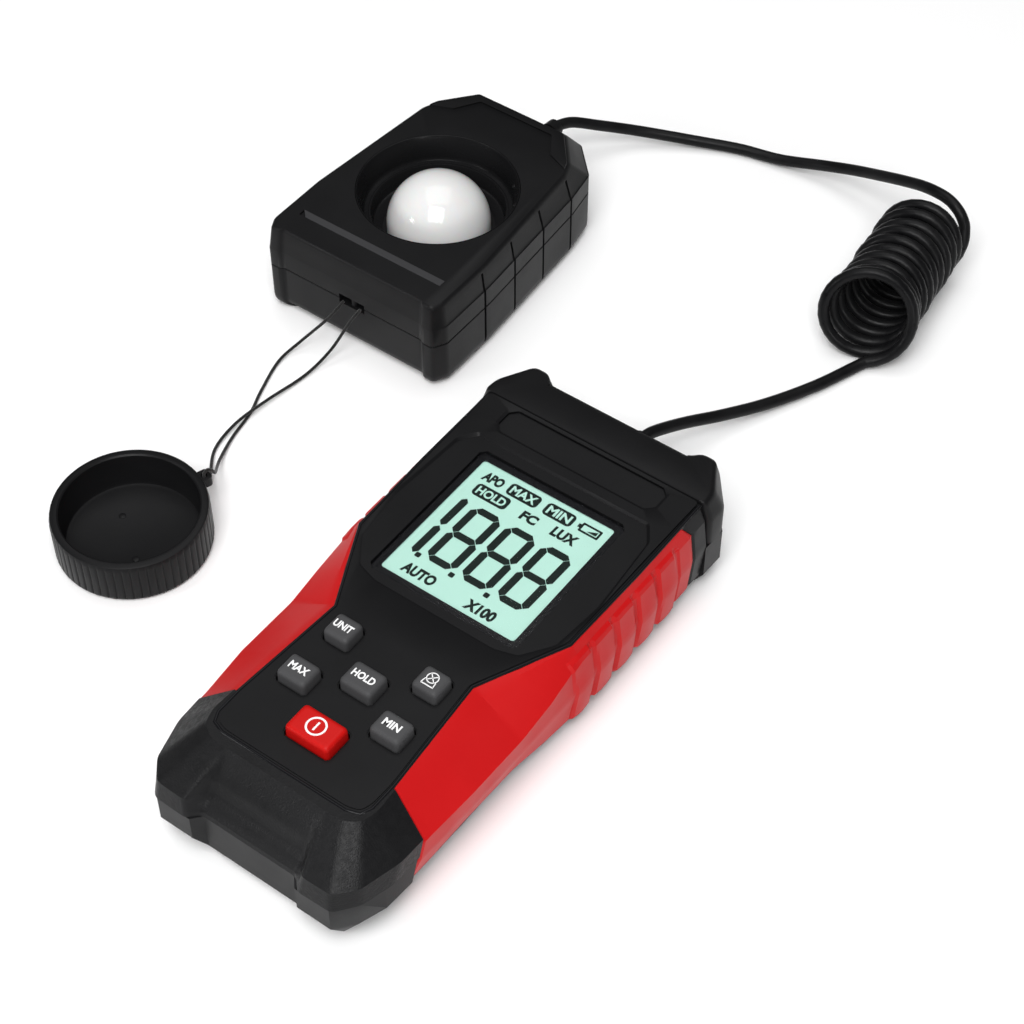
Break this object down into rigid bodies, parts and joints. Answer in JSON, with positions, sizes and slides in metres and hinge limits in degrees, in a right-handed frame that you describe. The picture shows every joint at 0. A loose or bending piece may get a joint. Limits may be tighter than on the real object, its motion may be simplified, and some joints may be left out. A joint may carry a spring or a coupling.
{
  "type": "handheld light meter",
  "caption": "Handheld digital light meter with red side grips, a corded sensor head with an opal dome on a curly cable, and a tethered round lens cap.",
  "frame": {"origin": "centre of the meter's flat back, on the surface it lies on", "axes": "+Z out of the display face, +Y along the meter towards the cable end, +X to the right of the display"},
  "size_m": [0.1633, 0.2994, 0.0338],
  "materials": {
    "black_shell": "fine satin grain",
    "soft_black": "pebbled soft-touch",
    "red_grip": "satin soft-touch",
    "grey_key": "satin",
    "red_key": "satin",
    "clear_window": "polished acrylic",
    "lcd": "polished glass",
    "white_acrylic": "gloss opal",
    "light_guide": "gloss",
    "pcb": "solder mask",
    "component_black": "moulded",
    "steel": "bright",
    "brass": "machined",
    "cell_wrap": "gloss wrap",
    "silicone": "matt",
    "filter": "polished",
    "cord": "satin sheath",
    "string": "braided"
  },
  "bodies": {
    "meter": {"front_case": "black_shell", "rear_case": "black_shell", "top_end_cap": "black_shell", "bottom_bumper": "soft_black", "left_grip": "red_grip", "right_grip": "red_grip", "name_plate": "black_shell", "lcd_window": "clear_window", "lcd_frame": "component_black", "lcd_glass": "lcd", "backlight": "light_guide", "zebra_strips": "silicone", "main_board": "pcb", "chips": "component_black", "buzzer": "component_black", "key_mat": "silicone", "battery_cells": "cell_wrap", "battery_contacts": "steel", "case_screws": "steel", "tripod_insert": "brass", "meter_gland": "cord", "cable_meter_lead": "cord", "cable_coil": "cord"},
    "sensor_head": {"sensor_front_case": "black_shell", "sensor_rear_case": "black_shell", "accent_strip": "black_shell", "sensor_bezel": "black_shell", "sensor_dome": "white_acrylic", "colour_filter": "filter", "photodiode": "component_black", "sensor_board": "pcb", "sensor_screws": "steel", "sensor_gland": "cord", "cable_sensor_lead": "cord", "cap_lanyard": "string"},
    "sensor_cap": {"sensor_cap": "black_shell"},
    "battery_door": {"battery_door": "black_shell"},
    "key_unit": {"key_unit": "grey_key"},
    "key_max": {"key_max": "grey_key"},
    "key_hold": {"key_hold": "grey_key"},
    "key_lamp": {"key_lamp": "grey_key"},
    "key_min": {"key_min": "grey_key"},
    "key_power": {"key_power": "red_key"}
  },
  "joints": [
    {"name": "press_unit", "type": "slide", "parent": "meter", "child": "key_unit", "axis": [0, 0, -1], "range_m": [0, 0.0008], "stiffness_N_per_m": 400},
    {"name": "press_max", "type": "slide", "parent": "meter", "child": "key_max", "axis": [0, 0, -1], "range_m": [0, 0.0008], "stiffness_N_per_m": 400},
    {"name": "press_hold", "type": "slide", "parent": "meter", "child": "key_hold", "axis": [0, 0, -1], "range_m": [0, 0.0008], "stiffness_N_per_m": 400},
    {"name": "press_lamp", "type": "slide", "parent": "meter", "child": "key_lamp", "axis": [0, 0, -1], "range_m": [0, 0.0008], "stiffness_N_per_m": 400},
    {"name": "press_min", "type": "slide", "parent": "meter", "child": "key_min", "axis": [0, 0, -1], "range_m": [0, 0.0008], "stiffness_N_per_m": 400},
    {"name": "press_power", "type": "slide", "parent": "meter", "child": "key_power", "axis": [0, 0, -1], "range_m": [0, 0.0008], "stiffness_N_per_m": 400},
    {"name": "battery_door_slide", "type": "slide", "parent": "meter", "child": "battery_door", "axis": [0, -1, 0], "range_m": [0, 0.004]},
    {"name": "cord_pull", "type": "slide", "parent": "meter", "child": "sensor_head", "axis": [-0.0905, 0.9959, 0], "range_m": [0, 0.15], "deforming": ["cable_coil"]},
    {"name": "cap_flip", "type": "hinge", "parent": "sensor_head", "child": "sensor_cap", "pos_m": [-0.094, 0.05315, 0.0177], "axis": [-1, 0.0076, 0], "range_deg": [0, 180], "deforming": ["cap_lanyard"]}
  ]
}
